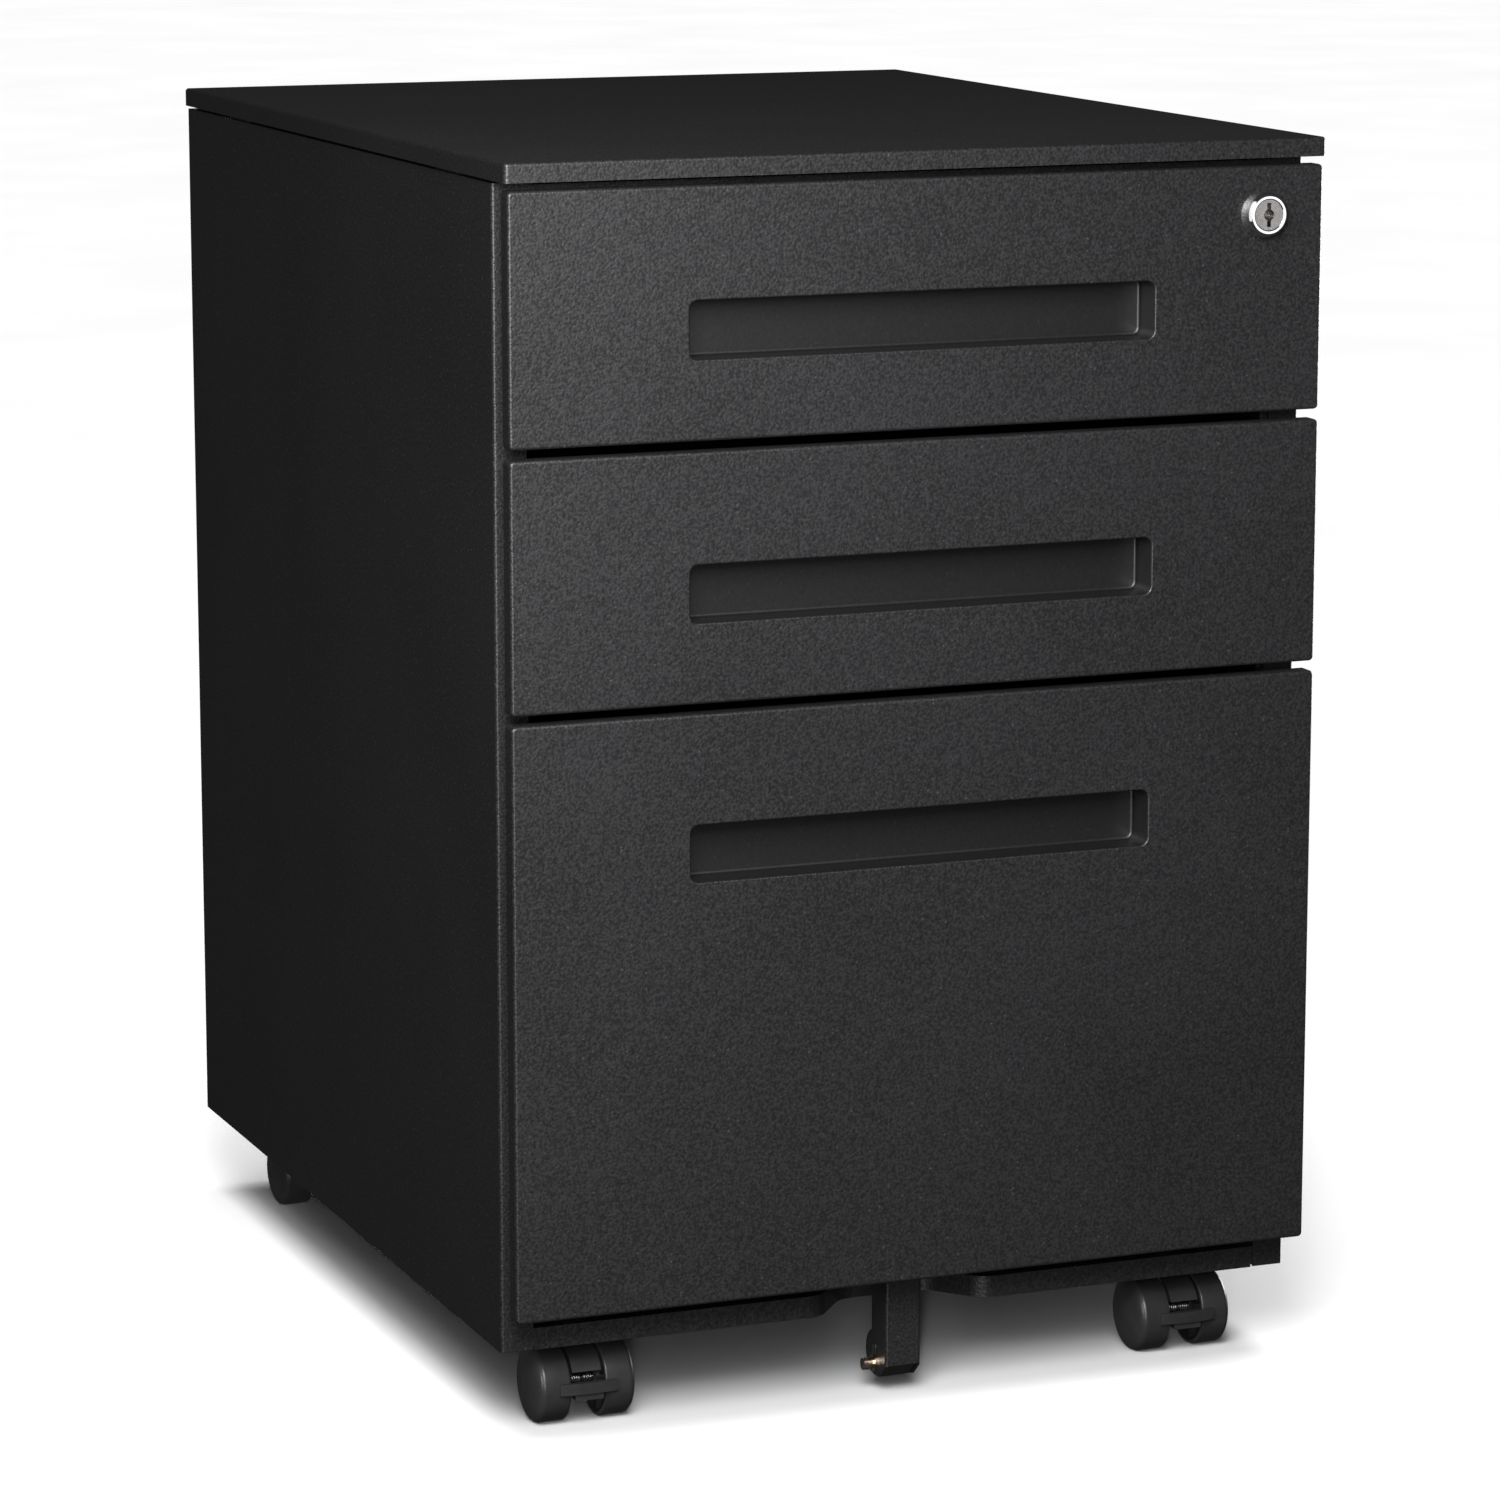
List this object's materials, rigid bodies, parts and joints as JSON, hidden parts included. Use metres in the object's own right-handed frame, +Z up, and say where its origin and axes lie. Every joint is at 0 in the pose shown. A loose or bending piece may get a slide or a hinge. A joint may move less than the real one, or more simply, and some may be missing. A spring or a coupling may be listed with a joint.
{
  "type": "rolling pedestal cabinet",
  "caption": "Low steel drawer pedestal on swivel casters, with recessed pulls, a gang lock in the top drawer and an anti-tip leg under the file drawer.",
  "frame": {"origin": "on the floor, under the middle of the cabinet's bounding box", "axes": "+Z up, -Y towards the drawer faces, +X to the right as seen from the front"},
  "size_m": [0.408, 0.5192, 0.597],
  "materials": {
    "panel_black": "fine-grained satin powder coat, charcoal black",
    "zinc_steel": "bright zinc plate",
    "chrome_trim": "polished chrome plate",
    "nickel_plug": "satin nickel, faced on a lathe",
    "brass_pin": "yellow passivated, worn",
    "black_nylon": "satin moulded nylon"
  },
  "bodies": {
    "carcass": {"top_panel": "panel_black", "top_stiffeners": "panel_black", "left_side_panel": "panel_black", "right_side_panel": "panel_black", "back_panel": "panel_black", "base_plate": "panel_black", "cross_rails": "panel_black", "slide_posts": "zinc_steel", "cabinet_slide_members": "zinc_steel", "slide_screws": "zinc_steel", "carcass_screws": "zinc_steel", "lock_bar_guides": "zinc_steel", "caster_stems": "zinc_steel", "caster_nuts": "zinc_steel"},
    "lock_bar": {"lock_bar": "zinc_steel"},
    "lock_plug": {"lock_plug": "nickel_plug", "lock_cam": "nickel_plug"},
    "drawer_1": {"drawer_1_front": "panel_black", "drawer_1_pull_cup": "panel_black", "drawer_1_inner_panel": "panel_black", "drawer_1_box": "panel_black", "drawer_1_slide_members": "zinc_steel", "lock_housing": "chrome_trim", "lock_nut": "zinc_steel"},
    "middle_slides_1": {"middle_slide_members_1": "zinc_steel"},
    "drawer_2": {"drawer_2_front": "panel_black", "drawer_2_pull_cup": "panel_black", "drawer_2_inner_panel": "panel_black", "drawer_2_box": "panel_black", "drawer_2_slide_members": "zinc_steel"},
    "middle_slides_2": {"middle_slide_members_2": "zinc_steel"},
    "drawer_3": {"drawer_3_front": "panel_black", "drawer_3_pull_cup": "panel_black", "drawer_3_inner_panel": "panel_black", "drawer_3_box": "panel_black", "drawer_3_slide_members": "zinc_steel", "hanging_file_bars": "panel_black", "stabiliser_leg": "panel_black", "stabiliser_axle": "brass_pin", "stabiliser_leg_screws": "zinc_steel"},
    "middle_slides_3": {"middle_slide_members_3": "zinc_steel"},
    "stabiliser_roller": {"stabiliser_roller": "black_nylon"},
    "caster_front_left_swivel": {"caster_front_left_hood": "black_nylon", "caster_front_left_axle": "zinc_steel"},
    "caster_front_left_wheel_left": {"caster_front_left_wheel_left": "black_nylon"},
    "caster_front_left_wheel_right": {"caster_front_left_wheel_right": "black_nylon"},
    "caster_front_left_brake_lever": {"caster_front_left_brake_lever": "black_nylon"},
    "caster_front_right_swivel": {"caster_front_right_hood": "black_nylon", "caster_front_right_axle": "zinc_steel"},
    "caster_front_right_wheel_left": {"caster_front_right_wheel_left": "black_nylon"},
    "caster_front_right_wheel_right": {"caster_front_right_wheel_right": "black_nylon"},
    "caster_front_right_brake_lever": {"caster_front_right_brake_lever": "black_nylon"},
    "caster_rear_left_swivel": {"caster_rear_left_hood": "black_nylon", "caster_rear_left_axle": "zinc_steel"},
    "caster_rear_left_wheel_left": {"caster_rear_left_wheel_left": "black_nylon"},
    "caster_rear_left_wheel_right": {"caster_rear_left_wheel_right": "black_nylon"},
    "caster_rear_right_swivel": {"caster_rear_right_hood": "black_nylon", "caster_rear_right_axle": "zinc_steel"},
    "caster_rear_right_wheel_left": {"caster_rear_right_wheel_left": "black_nylon"},
    "caster_rear_right_wheel_right": {"caster_rear_right_wheel_right": "black_nylon"}
  },
  "joints": [
    {"name": "drawer_1_slide", "type": "slide", "parent": "carcass", "child": "drawer_1", "axis": [0, -1, 0], "range_m": [0, 0.4]},
    {"name": "middle_slides_1_slide", "type": "slide", "parent": "carcass", "child": "middle_slides_1", "axis": [0, -1, 0], "range_m": [0, 0.2]},
    {"name": "drawer_2_slide", "type": "slide", "parent": "carcass", "child": "drawer_2", "axis": [0, -1, 0], "range_m": [0, 0.4]},
    {"name": "middle_slides_2_slide", "type": "slide", "parent": "carcass", "child": "middle_slides_2", "axis": [0, -1, 0], "range_m": [0, 0.2]},
    {"name": "drawer_3_slide", "type": "slide", "parent": "carcass", "child": "drawer_3", "axis": [0, -1, 0], "range_m": [0, 0.4]},
    {"name": "middle_slides_3_slide", "type": "slide", "parent": "carcass", "child": "middle_slides_3", "axis": [0, -1, 0], "range_m": [0, 0.2]},
    {"name": "lock_turn", "type": "hinge", "parent": "drawer_1", "child": "lock_plug", "pos_m": [0.171, -0.2524, 0.562], "axis": [0, -1, 0], "range_deg": [0, 90]},
    {"name": "lock_bar_lift", "type": "slide", "parent": "carcass", "child": "lock_bar", "axis": [0, 0, 1], "range_m": [0, 0.0099]},
    {"name": "stabiliser_roller_spin", "type": "hinge", "parent": "drawer_3", "child": "stabiliser_roller", "pos_m": [0, -0.2181, 0.0137], "axis": [1, 0, 0], "continuous": true},
    {"name": "caster_front_left_swivel", "type": "hinge", "parent": "carcass", "child": "caster_front_left_swivel", "pos_m": [-0.156, -0.1879, 0.047], "axis": [0, 0, 1], "continuous": true},
    {"name": "caster_front_left_wheel_left_spin", "type": "hinge", "parent": "caster_front_left_swivel", "child": "caster_front_left_wheel_left", "pos_m": [-0.156, -0.2029, 0.0184], "axis": [1, 0, 0], "continuous": true},
    {"name": "caster_front_left_wheel_right_spin", "type": "hinge", "parent": "caster_front_left_swivel", "child": "caster_front_left_wheel_right", "pos_m": [-0.156, -0.2029, 0.0184], "axis": [1, 0, 0], "continuous": true},
    {"name": "caster_front_left_brake_press", "type": "hinge", "parent": "caster_front_left_swivel", "child": "caster_front_left_brake_lever", "pos_m": [-0.156, -0.2029, 0.0184], "axis": [1, 0, 0], "range_deg": [0, 12]},
    {"name": "caster_front_right_swivel", "type": "hinge", "parent": "carcass", "child": "caster_front_right_swivel", "pos_m": [0.156, -0.1879, 0.047], "axis": [0, 0, 1], "continuous": true},
    {"name": "caster_front_right_wheel_left_spin", "type": "hinge", "parent": "caster_front_right_swivel", "child": "caster_front_right_wheel_left", "pos_m": [0.156, -0.2029, 0.0184], "axis": [1, 0, 0], "continuous": true},
    {"name": "caster_front_right_wheel_right_spin", "type": "hinge", "parent": "caster_front_right_swivel", "child": "caster_front_right_wheel_right", "pos_m": [0.156, -0.2029, 0.0184], "axis": [1, 0, 0], "continuous": true},
    {"name": "caster_front_right_brake_press", "type": "hinge", "parent": "caster_front_right_swivel", "child": "caster_front_right_brake_lever", "pos_m": [0.156, -0.2029, 0.0184], "axis": [1, 0, 0], "range_deg": [0, 12]},
    {"name": "caster_rear_left_swivel", "type": "hinge", "parent": "carcass", "child": "caster_rear_left_swivel", "pos_m": [-0.156, 0.2216, 0.047], "axis": [0, 0, 1], "continuous": true},
    {"name": "caster_rear_left_wheel_left_spin", "type": "hinge", "parent": "caster_rear_left_swivel", "child": "caster_rear_left_wheel_left", "pos_m": [-0.156, 0.2066, 0.0184], "axis": [1, 0, 0], "continuous": true},
    {"name": "caster_rear_left_wheel_right_spin", "type": "hinge", "parent": "caster_rear_left_swivel", "child": "caster_rear_left_wheel_right", "pos_m": [-0.156, 0.2066, 0.0184], "axis": [1, 0, 0], "continuous": true},
    {"name": "caster_rear_right_swivel", "type": "hinge", "parent": "carcass", "child": "caster_rear_right_swivel", "pos_m": [0.156, 0.2216, 0.047], "axis": [0, 0, 1], "continuous": true},
    {"name": "caster_rear_right_wheel_left_spin", "type": "hinge", "parent": "caster_rear_right_swivel", "child": "caster_rear_right_wheel_left", "pos_m": [0.156, 0.2066, 0.0184], "axis": [1, 0, 0], "continuous": true},
    {"name": "caster_rear_right_wheel_right_spin", "type": "hinge", "parent": "caster_rear_right_swivel", "child": "caster_rear_right_wheel_right", "pos_m": [0.156, 0.2066, 0.0184], "axis": [1, 0, 0], "continuous": true}
  ],
  "couplings": [
    {"joint": "middle_slides_1_slide", "follows": "drawer_1_slide", "ratio": 0.5},
    {"joint": "middle_slides_2_slide", "follows": "drawer_2_slide", "ratio": 0.5},
    {"joint": "middle_slides_3_slide", "follows": "drawer_3_slide", "ratio": 0.5},
    {"joint": "lock_turn", "follows": "lock_bar_lift", "rad_per_m": 158.66}
  ]
}
